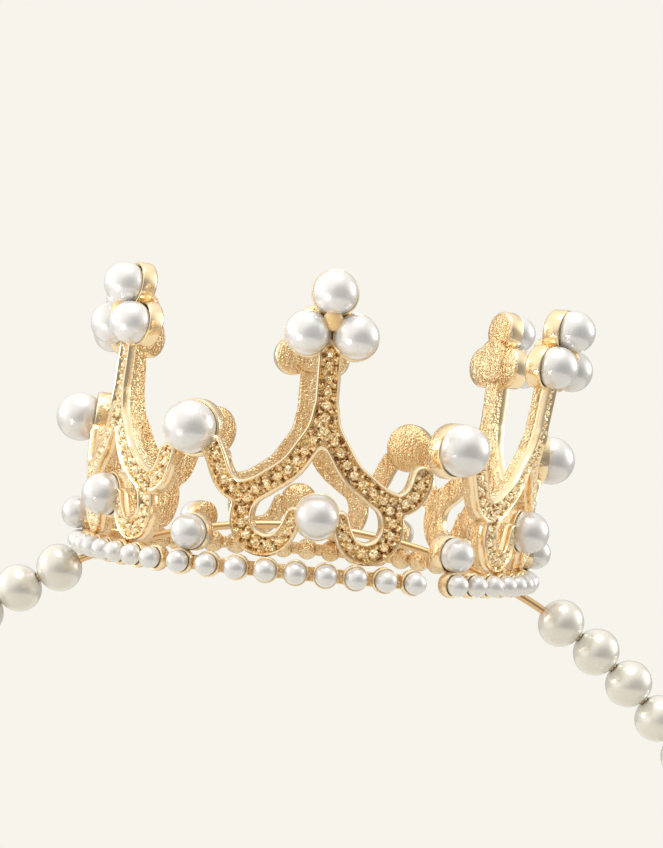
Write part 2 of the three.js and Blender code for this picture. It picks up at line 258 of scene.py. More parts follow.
def field_at(field, points):
    u = (np.asarray(points) - FIELD_FROM) / GRID
    i = np.clip(u[:, 0].astype(int), 0, field.shape[0] - 2)
    j = np.clip(u[:, 1].astype(int), 0, field.shape[1] - 2)
    fx, fz = u[:, 0] - i, u[:, 1] - j
    return (
        field[i, j] * (1 - fx) * (1 - fz) + field[i + 1, j] * fx * (1 - fz)
        + field[i, j + 1] * (1 - fx) * fz + field[i + 1, j + 1] * fx * fz
    )


def contours(field, level):
    """The closed lines where the field is at a level."""
    f = field - level
    inside = f < 0
    mixed = inside[:-1, :-1].astype(int) + inside[1:, :-1] + inside[:-1, 1:] + inside[1:, 1:]
    links, places = {}, {}

    def crossing(i0, j0, i1, j1):
        key = (i0, j0, i1, j1)
        if key not in places:
            t = f[i0, j0] / (f[i0, j0] - f[i1, j1])
            places[key] = FIELD_FROM + GRID * np.array([i0 + t * (i1 - i0), j0 + t * (j1 - j0)])
        return key

    for i, j in np.argwhere((mixed > 0) & (mixed < 4)):
        sides = [
            (i, j, i + 1, j), (i + 1, j, i + 1, j + 1), (i, j + 1, i + 1, j + 1), (i, j, i, j + 1),
        ]
        cut = [crossing(*s) for s in sides if inside[s[0], s[1]] != inside[s[2], s[3]]]
        pairs = [(cut[0], cut[1])]
        if len(cut) == 4:
            middle_in = f[i:i + 2, j:j + 2].mean() < 0
            joined = inside[i, j] == middle_in
            if joined:
                pairs = [(cut[0], cut[1]), (cut[2], cut[3])]
            else:
                pairs = [(cut[0], cut[3]), (cut[1], cut[2])]
        for p, q in pairs:
            links.setdefault(p, []).append(q)
            links.setdefault(q, []).append(p)
    loops, seen = [], set()
    for start in links:
        if start in seen:
            continue
        loop, here = [], start
        while here is not None:
            seen.add(here)
            loop.append(places[here])
            here = next((n for n in links[here] if n not in seen), None)
        loops.append(np.array(loop))
    return loops


def evenly(loop, spacing):
    """A closed line with its points evenly spaced."""
    closed = np.vstack([loop, loop[:1]])
    length = np.concatenate([[0], np.cumsum(np.linalg.norm(np.diff(closed, axis=0), axis=1))])
    count = max(int(round(length[-1] / spacing)), 8)
    at = np.linspace(0, length[-1], count, endpoint=False)
    return np.stack([np.interp(at, length, closed[:, k]) for k in (0, 1)], 1)


# ---- the openwork's solid -----------------------------------------------------------------

# Depth below the plate's face, against distance in from the outline: a smooth raised rim, then
# the sunk floor that the domes stand on.
RIM_PROFILE = [(0.0, 0.26), (0.07, 0.08), (0.19, 0.0), (0.32, 0.03), (0.44, 0.26), (0.54, 0.5)]
FLOOR_DEPTH = 0.52
FLOOR_SPACING = 0.13
DOME_R = 0.6
DOME_STEP = 1.45
DOME_H = 0.46
PRONG_R = 0.36
PRONG_H = 0.42
CAST_ROUGH = 0.1         # how far the floor's surface wanders up and down
# Depth below the face, and how far the side wall stands out there: polished in front, rough
# behind.
WALL = [(0.5, 0.02), (0.95, 0.02), (1.05, -0.03), (1.2, 0.03), (1.5, 0.04), (1.8, 0.02)]
BACK_PROFILE = [(0.0, 1.98), (0.14, 2.08)]
BACK_SPACING = 0.22
LOOP_SPACING = 0.2


def dome_places(rng):
    """The cast stones down the middle of each bar, and the small prongs between them."""
    domes, prongs = [], []
    seats = [HEART[:2]] + [t[:2] for t in TIPS]
    seat_r = [HEART_R + 0.35] + [TIP_R + 0.25] * 3
    for line, half in bars():
        step = np.linalg.norm(np.diff(line, axis=0), axis=1)
        at = np.concatenate([[0], np.cumsum(step)])
        count = int((at[-1] - 0.4) / DOME_STEP)
        for k in range(count + 1):
            s = 0.5 + k * DOME_STEP
            here = np.array([np.interp(s, at, line[:, m]) for m in (0, 1)])
            ahead = np.array([np.interp(s + 0.1, at, line[:, m]) for m in (0, 1)]) - here
            if np.linalg.norm(ahead) < 1e-6:
                continue
            ahead /= np.linalg.norm(ahead)
            side = np.array([-ahead[1], ahead[0]])
            if any(np.linalg.norm(here - c) < r for c, r in zip(seats, seat_r)):
                continue
            if all(np.linalg.norm(here - d[:2]) > 1.25 for d in domes):
                domes.append((*here, DOME_R * rng.uniform(0.92, 1.06), rng.uniform(0, 6.28)))
            room = np.interp(s, at, half) - 0.68
            for way in (-1, 1):
                prong = here + ahead * DOME_STEP / 2 + side * way * room
                if all(np.linalg.norm(prong - p[:2]) > 0.5 for p in prongs):
                    moved = prong + rng.uniform(-0.07, 0.07, 2)
                    prongs.append((*moved, PRONG_R * rng.uniform(0.7, 1.1)))
    return domes, prongs


def floor_height(points, domes, prongs, rng):
    """How far the domes and prongs stand above the floor at each point."""
    height = np.zeros(len(points))
    for x, z, r, turn in domes:
        d = points - (x, z)
        q = np.linalg.norm(d, axis=1) / r
        near = q < 1
        top = DOME_H * np.sqrt(np.clip(1 - q * q, 0, 1))
        for k in range(5):
            way = np.array([math.cos(turn + k * 1.2566), math.sin(turn + k * 1.2566)])
            top = np.minimum(top, DOME_H * (1.1 - 0.75 * (d @ way) / r))
        height = np.where(near, np.maximum(height, np.minimum(top, DOME_H * 0.9)), height)
    for x, z, r in prongs:
        q = np.linalg.norm(points - (x, z), axis=1) / r
        height = np.maximum(height, PRONG_H * np.sqrt(np.clip(1 - q * q, 0, 1)))
    return height + rng.uniform(-CAST_ROUGH, CAST_ROUGH, len(points))


def inside(points, loops):
    """Which points are inside an odd number of the loops."""
    odd = np.zeros(len(points), bool)
    for loop in loops:
        for p, q in zip(loop, np.roll(loop, -1, 0)):
            spans = (p[1] > points[:, 1]) != (q[1] > points[:, 1])
            run = (points[:, 1] - p[1]) / (q[1] - p[1] + 1e-30) * (q[0] - p[0]) + p[0]
            odd ^= spans & (points[:, 0] < run)
    return odd


def filled(field, outer, loops, extra):
    """Triangles over the inside of the outline, through the loops' and the extra points."""
    points = np.vstack([*loops, extra])
    edges, start = [], 0
    for loop in loops:
        edges += [(start + k, start + (k + 1) % len(loop)) for k in range(len(loop))]
        start += len(loop)
    flat = [Vector(p) for p in points]
    verts, _, faces, made_from, *_ = delaunay_2d_cdt(flat, edges, [], 0, 1e-6)
    verts = np.array(verts)
    faces = np.array([f for f in faces if len(f) == 3])
    centre = verts[faces].mean(1)
    level = field_at(field, centre)
    keep = level < 0
    close = np.abs(level) < 0.1
    keep[close] = inside(centre[close], outer)
    faces = faces[keep]
    became = {old: new for new, olds in enumerate(made_from) for old in olds}
    return verts, faces, became


def grid_points(field, spacing, deeper_than):
    xs = np.arange(FIELD_FROM[0], FIELD_FROM[0] + GRID * FIELD_SIZE[0], spacing)
    zs = np.arange(FIELD_FROM[1], FIELD_FROM[1] + GRID * FIELD_SIZE[1], spacing * 0.87)
    a, z = np.meshgrid(xs, zs, indexing="ij")
    a = a + (np.arange(len(zs)) % 2) * spacing / 2
    points = np.stack([a.ravel(), z.ravel()], 1)
    return points[field_at(field, points) < -deeper_than]


def openwork(field):
    """The openwork in flat space, where x is along the ring, -y outwards and z up, in mm."""
    rng = np.random.default_rng(7)
    rims = [evenly(c, LOOP_SPACING) for d, _ in RIM_PROFILE for c in contours(field, -d)]
    outer = [evenly(c, LOOP_SPACING) for c in contours(field, 0.0)]
    floor = grid_points(field, FLOOR_SPACING, RIM_PROFILE[-1][0] + 0.06)
    front, front_faces, front_of = filled(field, outer, rims, floor)
    inward = -field_at(field, front)
    depth = np.interp(inward, *zip(*RIM_PROFILE))
    domes, prongs = dome_places(rng)
    raised = floor_height(front, domes, prongs, rng)
    depth = np.where(inward > 0.5, np.maximum(FLOOR_DEPTH - raised, 0.02), depth)

    backs = [evenly(c, LOOP_SPACING) for d, _ in BACK_PROFILE for c in contours(field, -d)]
    back, back_faces, back_of = filled(field, outer, backs, grid_points(field, BACK_SPACING, 0.3))
    back_depth = np.interp(-field_at(field, back), *zip(*BACK_PROFILE))
    stripes = rng.uniform(-0.05, 0.05, 200)[((back[:, 0] - FIELD_FROM[0]) / 0.3).astype(int)]
    rough = stripes + rng.uniform(-0.025, 0.025, len(back))
    back_depth = back_depth + np.where(back_depth > 2.0, rough, 0)

    bm = bmesh.new()

    def put(point, deep):
        return bm.verts.new((point[0], -(plate_face(point[1]) - deep), point[1]))

    front_verts = [put(p, d) for p, d in zip(front, depth)]
    back_verts = [put(p, d) for p, d in zip(back, back_depth)]
    for tri in front_faces:
        bm.faces.new([front_verts[k] for k in tri])
    for tri in back_faces:
        bm.faces.new([back_verts[k] for k in tri[::-1]])
    start = 0
    for loop in outer:
        h = 0.05
        gx = field_at(field, loop + (h, 0)) - field_at(field, loop - (h, 0))
        gz = field_at(field, loop + (0, h)) - field_at(field, loop - (0, h))
        out = np.stack([gx, gz], 1)
        out /= np.maximum(np.linalg.norm(out, axis=1), 1e-6)[:, None]
        places = range(start, start + len(loop))
        start += len(loop)
        rows = [[front_verts[front_of[k]] for k in places]]
        for deep, proud in WALL:
            noise = rng.uniform(-0.035, 0.035, len(loop)) if deep > 1.1 else np.zeros(len(loop))
            rows.append([put(p + n * (proud + e), deep) for p, n, e in zip(loop, out, noise)])
        rows.append([back_verts[back_of[k]] for k in places])
        for upper, lower in zip(rows[:-1], rows[1:]):
            for k in range(len(loop)):
                m = (k + 1) % len(loop)
                bm.faces.new((upper[k], upper[m], lower[m], lower[k]))
    bm.verts.ensure_lookup_table()
    loose = [v for v in bm.verts if not v.link_faces]
    bmesh.ops.delete(bm, geom=loose, context="VERTS")
    bmesh.ops.recalc_face_normals(bm, faces=bm.faces)
    return bm


# ---- the rest of a casting ----------------------------------------------------------------

def lathed(bm, profile, sides, place):
    """A solid turned about the radial line through a place; its profile is [radius, outwards]."""
    along, z, radius = place
    rings = []
    for r, out in profile:
        if r < 1e-6:
            rings.append([bm.verts.new((along, -(radius + out), z))])
            continue
        turns = [2 * math.pi * k / sides for k in range(sides)]
        rings.append([
            bm.verts.new((along + r * math.cos(t), -(radius + out), z + r * math.sin(t)))
            for t in turns
        ])
    for a, b in zip(rings[:-1], rings[1:]):
        for k in range(sides):
            m = (k + 1) % sides
            if len(a) == 1:
                bm.faces.new((a[0], b[m], b[k]))
            elif len(b) == 1:
                bm.faces.new((a[k], a[m], b[0]))
            else:
                bm.faces.new((a[k], a[m], b[m], b[k]))
    bmesh.ops.recalc_face_normals(bm, faces=bm.faces)


# The cups: radius of the pearl and of the wall, height of the rim and depth of the back from the
# pearl's middle, and how much of that depth is domed.
SMALL_CUP = (BASE_R, 1.48, -0.55, 2.55, 0.5)
LOW_CUP = (LOW_R, 2.15, -0.75, 3.1, 0.2)
CORNER_CUP = (CORNER_R, 3.3, -1.1, 4.3, 0.32)
HEART_CUP = (HEART_R, 2.72, -0.95, 3.5, 0.35)
TIP_CUP = (TIP_R, 2.69, -1.0, 3.6, 0.3)
TIP_HUB = [(0, -1.2), (2.5, -1.2), (2.9, -0.9), (2.9, -0.3), (2.6, 0), (0, 0)]
TIP_HUB_AT = (MOTIF, 28.95, 27.5)


def cup_profile(pearl_r, wall, rim, depth, dome):
    """A cup with a domed back, a thin rounded rim and a hollow that fits its pearl."""
    hollow = pearl_r + 0.05
    inner = math.sqrt(hollow * hollow - rim * rim) + 0.02
    out = [(0.0, -depth)]
    for t in np.radians([15, 30, 45, 58, 70, 80, 90]):
        out.append((wall * math.sin(t), -depth + dome * depth * (1 - math.cos(t))))
    lip = (wall - inner) / 2
    out += [
        (wall, rim - lip * 1.1), (wall - lip * 0.25, rim - lip * 0.3), (wall - lip * 0.7, rim),
        (inner + lip * 0.5, rim - lip * 0.05), (inner, rim - lip * 0.5),
    ]
    first = math.asin(min(inner / hollow, 1)) - 0.16
    for t in np.linspace(first, 0, 6):
        out.append((hollow * math.sin(t), -hollow * math.cos(t)))
    return out


def mesh_object(name, bm):
    mesh = bpy.data.meshes.new(name)
    bm.to_mesh(mesh)
    bm.free()
    made = bpy.data.objects.new(name, mesh)
    bpy.context.scene.collection.objects.link(made)
    return made


def turned_object(profile, sides, place):
    bm = bmesh.new()
    lathed(bm, profile, sides, place)
    return mesh_object("turned", bm)


def strip():
    """The strip behind the small pearls' cups."""
    reach = BASE[-1][0]
    ends = [(-reach - 0.95, 0.5)]
    ends += [(a, 0.8) for a in np.linspace(-reach - 0.5, reach + 0.5, 19)]
    ends += [(reach + 0.95, 0.5)]
    corners = [
        (-1, 0.15), (-0.85, 0), (0.85, 0), (1, 0.15),
        (1, 0.75), (0.8, 0.98), (-0.8, 0.98), (-1, 0.75),
    ]
    bm = bmesh.new()
    rings = []
    front, back = 27.9, 27.15
    for along, half in ends:
        rings.append([
            bm.verts.new((along, -(front - (front - back) * deep), RIM_Z + half * up))
            for up, deep in corners
        ])
    for a, b in zip(rings[:-1], rings[1:]):
        for k in range(len(corners)):
            m = (k + 1) % len(corners)
            bm.faces.new((a[k], a[m], b[m], b[k]))
    bm.faces.new(rings[0][::-1])
    bm.faces.new(rings[-1])
    bmesh.ops.recalc_face_normals(bm, faces=bm.faces)
    return mesh_object("strip", bm)


def joined(pieces, operation="UNION"):
    """The mesh of several closed solids combined into one; the solids are removed."""
    base = pieces[0]
    for other in pieces[1:]:
        modifier = base.modifiers.new("solid", "BOOLEAN")
        modifier.operation = operation
        modifier.solver = "MANIFOLD"
        modifier.object = other
    graph = bpy.context.evaluated_depsgraph_get()
    mesh = bpy.data.meshes.new_from_object(base.evaluated_get(graph))
    for piece in pieces:
        bpy.data.objects.remove(piece)
    return mesh


def pressed_object(made, pressed):
    """Presses an object in flat space, where x is along, -y outwards and z up."""
    x, y, z = coordinates(made.data).T
    x, z, radius = pressed_in(np.stack([x, z, -y], 1), pressed).T
    made.data.vertices.foreach_set("co", np.stack([x, -radius, z], 1).astype(np.float32).ravel())
    return made


def flat_casting(open_mesh, pressed, corner):
    """One casting in flat space: openwork, base strip and every cup."""
    plate = bpy.data.objects.new("plate", open_mesh.copy())
    bpy.context.scene.collection.objects.link(plate)
    pieces = [pressed_object(plate, pressed), pressed_object(strip(), pressed)]
    small, tip = cup_profile(*SMALL_CUP), cup_profile(*TIP_CUP)
    pieces += [turned_object(small, 22, place) for place in pressed_in(BASE, pressed)]
    pearl_r, wall, rim, depth, dome = LOW_CUP
    depth += 0.55 * max(-pressed, 0)     # it reaches back to the strip where that is pressed in
    pieces.append(turned_object(cup_profile(pearl_r, wall, rim, depth, dome), 28, LOW))
    pieces.append(turned_object(cup_profile(*CORNER_CUP), 40, corner))
    pieces.append(turned_object(cup_profile(*HEART_CUP), 34, HEART))
    pieces += [turned_object(tip, 32, place) for place in TIPS]
    pieces.append(turned_object(TIP_HUB, 24, TIP_HUB_AT))
    return joined(pieces)


def coordinates(mesh):
    co = np.zeros(len(mesh.vertices) * 3, np.float32)
    mesh.vertices.foreach_get("co", co)
    return co.reshape(-1, 3).astype(float)


def finish_mesh(mesh, sharp):
    mesh.shade_smooth()
    mesh.set_sharp_from_angle(angle=math.radians(sharp))


def add_field(mesh, name, kind, values):
    made = mesh.attributes.new(name, kind, "POINT")
    key = "vector" if kind == "FLOAT_VECTOR" else "value"
    made.data.foreach_set(key, values.astype(np.float32).ravel())


def piece(name, mesh, body, slot, material):
    """Shows a mesh in place of the CAD node of the same name."""
    made = bpy.data.objects.new(f"{name}_look", mesh)
    bpy.context.scene.collection.objects.link(made)
    mesh.materials.clear()
    for m in material if isinstance(material, list) else [material]:
        mesh.materials.append(m)
    if body:
        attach(made, body)
    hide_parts(name)
    return made


# ---- pearls, beads and wire ---------------------------------------------------------------

def balls(places, levels):
    """Pearls as one mesh: each place is a middle in metres and a radius in metres."""
    bm = bmesh.new()
    for middle, r in places:
        bmesh.ops.create_icosphere(
            bm, subdivisions=levels, radius=r, matrix=Matrix.Translation(Vector(middle)))
    mesh = bpy.data.meshes.new("pearls")
    bm.to_mesh(mesh)
    bm.free()
    mesh.shade_smooth()
    return mesh


def arch(side, degrees):
    """A point of the arch in metres, with the directions along it and outwards from it."""
    a = math.radians(degrees)
    out = Vector((side * math.sin(a), 0, math.cos(a)))
    along = Vector((side * math.cos(a), 0, -math.sin(a)))
    middle = Vector((0, 0, BAND_TOP_Z - BAND_R))
    return (middle + out * BAND_R) * MM, along, out


def turned_on_arch(bm, profile, sides, side, degrees, closed=False, start_turn=0.0):
    """A solid turned about the arch's line at a place; its profile is [radius, along], in mm."""
    centre, along, out = arch(side, degrees)
    across = along.cross(out)
    rings = []
    for r, reach in profile:
        middle = centre + along * reach * MM
        if r < 1e-6:
            rings.append([bm.verts.new(middle)])
            continue
        rings.append([
            bm.verts.new(middle + (out * math.cos(t) + across * math.sin(t)) * r * MM)
            for t in (2 * math.pi * k / sides + start_turn for k in range(sides))
        ])
    pairs = list(zip(rings[:-1], rings[1:]))
    if closed:
        pairs.append((rings[-1], rings[0]))
    for a, b in pairs:
        for k in range(sides):
            m = (k + 1) % sides
            if len(a) == 1:
                bm.faces.new((a[0], b[m], b[k]))
            elif len(b) == 1:
                bm.faces.new((a[k], a[m], b[0]))
            else:
                bm.faces.new((a[k], a[m], b[m], b[k]))


BEAD_HALF = 2.82         # half a bead's length along the wire
BEAD_HOLE_R = 0.72


def bead_profile():
    """A slightly flattened ball with a drilled hole, whose edges are rounded over."""
    first = math.asin((BEAD_HOLE_R + 0.1) / BEAD_R)
    out = []
    for t in np.linspace(first, math.pi - first, 15):
        out.append((BEAD_R * math.sin(t), -BEAD_HALF * math.cos(t)))
    end = BEAD_HALF * math.cos(first)
    return [(BEAD_HOLE_R, -end + 0.12), *out, (BEAD_HOLE_R, end - 0.12)]


def beads(side, places):
    bm = bmesh.new()
    for k, degrees in enumerate(places):
        turned_on_arch(bm, bead_profile(), 28, side, degrees, closed=True, start_turn=0.4 * k)
    bmesh.ops.recalc_face_normals(bm, faces=bm.faces)
    mesh = bpy.data.meshes.new("beads")
    bm.to_mesh(mesh)
    bm.free()
    finish_mesh(mesh, 50)
    return mesh


def wire(side, start, end, spacing=1.1):
    """A round wire along the arch."""
    bm = bmesh.new()
    count = max(int(abs(end - start) / spacing), 2)
    rings = []
    for degrees in np.linspace(start, end, count + 1):
        centre, along, out = arch(side, degrees)
        across = along.cross(out)
        rings.append([
            bm.verts.new(centre + (out * math.cos(t) + across * math.sin(t)) * WIRE_R * MM)
            for t in (2 * math.pi * k / 14 for k in range(14))
        ])
    for a, b in zip(rings[:-1], rings[1:]):
        for k in range(14):
            m = (k + 1) % 14
            bm.faces.new((a[k], a[m], b[m], b[k]))
    bm.faces.new(rings[0][::-1])
    bm.faces.new(rings[-1])
    bmesh.ops.recalc_face_normals(bm, faces=bm.faces)
    mesh = bpy.data.meshes.new("wire")
    bm.to_mesh(mesh)
    bm.free()
    finish_mesh(mesh, 50)
    return mesh


def tip_cap(side):
    """The smooth cap on the end of the wire, round at its end and rolled in at its mouth."""
    r, length, mouth = 1.7, TIP_LENGTH, 0.62
    profile = [
        (0, 2.9), (mouth, 2.9), (mouth, 0.12), (mouth + 0.1, 0),
        (r - 0.35, 0), (r - 0.1, 0.12), (r, 0.4),
    ]
    for t in np.linspace(0, math.pi / 2, 8):
        profile.append((r * math.cos(t), length - 1.7 + 1.7 * math.sin(t)))
    profile[-1] = (0, length)
    bm = bmesh.new()
    turned_on_arch(bm, profile, 28, side, TIP_FROM)
    bmesh.ops.recalc_face_normals(bm, faces=bm.faces)
    mesh = bpy.data.meshes.new("tip")
    bm.to_mesh(mesh)
    bm.free()
    finish_mesh(mesh, 40)
    return mesh


def saddle(side):
    """The small block on the inside of the ring that holds the wire in its groove."""
    bm = bmesh.new()
    bmesh.ops.create_cube(bm, size=1.0)
    for v in bm.verts:
        v.co = Vector((side * SADDLE_X[side] + v.co.x * 2.7, v.co.y * 3.2, 1.8 + v.co.z * 3))
    bmesh.ops.bevel(bm, geom=bm.edges[:], offset=0.28, segments=3, affect="EDGES", profile=0.5)
    block = mesh_object("block", bm)
    bm = bmesh.new()
    rings = []
    for degrees in (18, 21, 24, 27):
        centre, along, out = arch(side, degrees)
        across = along.cross(out)
        rings.append([
            bm.verts.new((centre + (out * math.cos(t) + across * math.sin(t)) * 0.56 * MM) / MM)
            for t in (2 * math.pi * k / 20 for k in range(20))
        ])
    for a, b in zip(rings[:-1], rings[1:]):
        for k in range(20):
            m = (k + 1) % 20
            bm.faces.new((a[k], a[m], b[m], b[k]))
    bm.faces.new(rings[0][::-1])
    bm.faces.new(rings[-1])
    bmesh.ops.recalc_face_normals(bm, faces=bm.faces)
    mesh = joined([block, mesh_object("groove", bm)], "DIFFERENCE")
    mesh.vertices.foreach_set("co", (coordinates(mesh) * MM).astype(np.float32).ravel())
    finish_mesh(mesh, 35)
    return mesh


# ---- materials ----------------------------------------------------------------------------

class Nodes:
    """A short way to write a material's nodes."""

    def __init__(self, name):
        self.material = bpy.data.materials.new(name)
        self.material.use_nodes = True
        self.tree = self.material.node_tree
        self.shader = self.tree.nodes["Principled BSDF"]

    def add(self, kind, inputs=None, **settings):
        node = self.tree.nodes.new(kind)
        for key, value in settings.items():
            setattr(node, key, value)
        for key, value in (inputs or {}).items():
            self.put(node, key, value)
        return node

    def put(self, node, key, value):
        if isinstance(value, bpy.types.NodeSocket):
            self.tree.links.new(value, node.inputs[key])
        else:
            node.inputs[key].default_value = value

    def set(self, **inputs):
        for key, value in inputs.items():
            self.put(self.shader, key.replace("_", " "), value)

    def math(self, operation, a, b=0.0, clamp=False):
        node = self.add("ShaderNodeMath", {0: a, 1: b}, operation=operation, use_clamp=clamp)
        return node.outputs[0]

    def mix(self, factor, a, b):
        node = self.add("ShaderNodeMix", {0: factor}, data_type="RGBA")
        self.put(node, 6, a)
        self.put(node, 7, b)
        return node.outputs[2]

    def blend(self, factor, a, b):
        node = self.add("ShaderNodeMix", {0: factor, 2: a, 3: b}, data_type="FLOAT")
        return node.outputs[0]

    def between(self, value, low, high):
        """0 at low and below, 1 at high and above."""
        node = self.add("ShaderNodeMapRange", {"Value": value, "From Min": low, "From Max": high})
        return node.outputs[0]

    def noise(self, where, scale, detail=2.0, rough=0.5):
        node = self.add("ShaderNodeTexNoise", {"Scale": scale, "Detail": detail, "Roughness": rough})
        self.tree.links.new(where, node.inputs["Vector"])
        return node.outputs["Fac"]


def colour(r, g, b):
    return (r, g, b, 1.0)


def gilt_material():
    n = Nodes("gilt casting")
    flat = n.add("ShaderNodeAttribute", attribute_name="flat").outputs["Vector"]
    rough = n.add("ShaderNodeAttribute", attribute_name="rough").outputs["Fac"]
    recess = n.add("ShaderNodeAttribute", attribute_name="recess").outputs["Fac"]
    stretched = n.add("ShaderNodeMapping", {"Vector": flat, "Scale": (1.0, 0.6, 0.22)}).outputs[0]
    stripes = n.noise(stretched, 2.6, 1.5, 0.5)
    grain = n.noise(flat, 4.0, 1.0, 0.5)
    spots = n.noise(flat, 1.9, 1.0, 0.5)
    cloud = n.noise(flat, 0.35, 2.0)
    polished = n.mix(cloud, colour(0.97, 0.75, 0.45), colour(1.0, 0.85, 0.60))
    patches = n.noise(stretched, 0.5, 2.0, 0.6)
    shade = n.between(patches, 0.35, 0.62)
    lit = n.mix(shade, colour(0.80, 0.56, 0.30), colour(1.0, 0.84, 0.58))
    cast = n.mix(stripes, colour(0.74, 0.49, 0.23), lit)
    surface = n.mix(rough, polished, cast)
    # Dark brown in the recesses, in spots: partly the patina of the hollows, partly painted shade that
    # stands in for the shade falling there.
    dark = n.between(spots, 0.47, 0.6)
    patina_and_painted_shade = n.math("MULTIPLY", recess, n.math("ADD", n.math("MULTIPLY", dark, 0.82), 0.03))
    tone = n.mix(patina_and_painted_shade, surface, colour(0.36, 0.17, 0.05))
    height = n.math("ADD", n.math("MULTIPLY", stripes, 1.0), n.math("MULTIPLY", grain, 0.7))
    amount = n.math("ADD", n.math("MULTIPLY", rough, 0.95), 0.05, clamp=True)
    bump = n.add("ShaderNodeBump", {"Strength": amount, "Distance": 0.00028, "Height": height})
    n.set(
        Base_Color=tone, Metallic=1.0, Normal=bump.outputs[0],
        Roughness=n.blend(rough, n.blend(cloud, 0.14, 0.24), n.blend(stripes, 0.13, 0.2)),
    )
    return n.material


def plain_gilt_material(name, low, high, roughness):
    n = Nodes(name)
    where = n.add("ShaderNodeTexCoord").outputs["Object"]
    cloud = n.noise(where, 900.0, 3.0)
    fine = n.noise(where, 9000.0, 2.0)
    bump = n.add("ShaderNodeBump", {"Strength": 0.12, "Distance": 0.00004, "Height": fine})
    n.set(
        Base_Color=n.mix(cloud, low, high), Metallic=1.0, Normal=bump.outputs[0],
        Roughness=n.blend(cloud, roughness * 0.8, roughness * 1.25),
    )
    return n.material


def pearl_material(name, body, shade, rosy, painted_edge_sheen):
    """Lacquered nacre: a clear smooth coat over a satin body, with a painted sheen that makes it a
    little paler at grazing angles.
    """
    n = Nodes(name)
    where = n.add("ShaderNodeTexCoord").outputs["Object"]
    cloud = n.noise(where, 330.0, 2.0)
    drift = n.noise(where, 120.0, 1.0)
    facing = n.add("ShaderNodeLayerWeight", {"Blend": 0.35}).outputs["Facing"]
    base = n.mix(n.math("MULTIPLY", cloud, 0.6), body, shade)
    tinted = n.mix(n.math("MULTIPLY", drift, 0.35), base, rosy)
    # The facing weight paints a sheen: the base colour turns paler towards the grazing edges.
    n.set(
        Base_Color=n.mix(n.math("MULTIPLY", facing, 0.55), tinted, painted_edge_sheen), Metallic=0.45,
        Roughness=n.blend(cloud, 0.25, 0.33), IOR=1.6,
        Coat_Weight=0.9, Coat_Roughness=0.06, Coat_IOR=1.6,
    )
    return n.material


def glue_material():
    n = Nodes("dry glue")
    where = n.add("ShaderNodeTexCoord").outputs["Object"]
    cloud = n.noise(where, 700.0, 2.0)
    n.set(
        Base_Color=n.mix(cloud, colour(0.86, 0.56, 0.22), colour(0.93, 0.68, 0.34)),
        Roughness=0.22, Coat_Weight=0.5,
    )
    return n.material


gilt = gilt_material()
smooth_gilt = plain_gilt_material("gilt cap", colour(0.90, 0.70, 0.44), colour(0.95, 0.78, 0.55), 0.2)
wire_gilt = plain_gilt_material("gilt wire", colour(0.72, 0.47, 0.23), colour(0.80, 0.56, 0.31), 0.2)
# The last colour of each pearl material is its painted sheen at the grazing edges.
white = pearl_material(
    "white pearl", colour(0.80, 0.80, 0.80), colour(0.74, 0.735, 0.73),
    colour(0.82, 0.785, 0.77), colour(0.90, 0.89, 0.87))
ivory = pearl_material(
    "ivory pearl", colour(0.80, 0.785, 0.71), colour(0.74, 0.72, 0.64),
    colour(0.81, 0.78, 0.73), colour(0.90, 0.885, 0.84))
glue = glue_material()

# ---- the crown ----------------------------------------------------------------------------

def surfaces(field, flat, before, corner):
    """How sunk and how roughly cast the surface is at each point of a casting; the sunk places get
    patina and painted shade in the gilt.
    """
    depth = plate_face(before[:, 1]) - before[:, 2]
    in_cup = np.hypot(flat[:, 0] - corner[0], flat[:, 2] - corner[1]) < 3.35
    for (along, z, _), r in [(HEART, 2.8), (LOW, 2.3), *[(t, 2.8) for t in TIPS]]:
        in_cup |= np.hypot(flat[:, 0] - along, flat[:, 2] - z) < r
    # Mask of the openwork's recesses, darkened in the gilt material as patina and painted shade.
    recess = smooth(depth, 0.14, 0.52) * (depth < 0.75) * (-field_at(field, before[:, :2]) > 0.3)
    depth = np.where(in_cup, plate_face(flat[:, 2]) + flat[:, 1], depth)
    polished_to = np.where(flat[:, 2] < 3.3, -0.25, np.where(in_cup, 1.9, 0.9))
    return recess * ~in_cup, smooth(depth, polished_to, polished_to + 0.25)


def crown_piece(name, number, mesh, material):
    slot = "gilt" if name == "casting" else "pearl"
    piece(f"{name}_{number}", mesh, "crown", slot, material)


field = outline_field()
open_mesh = bpy.data.meshes.new("openwork")
bm = openwork(field)
bm.to_mesh(open_mesh)
bm.free()

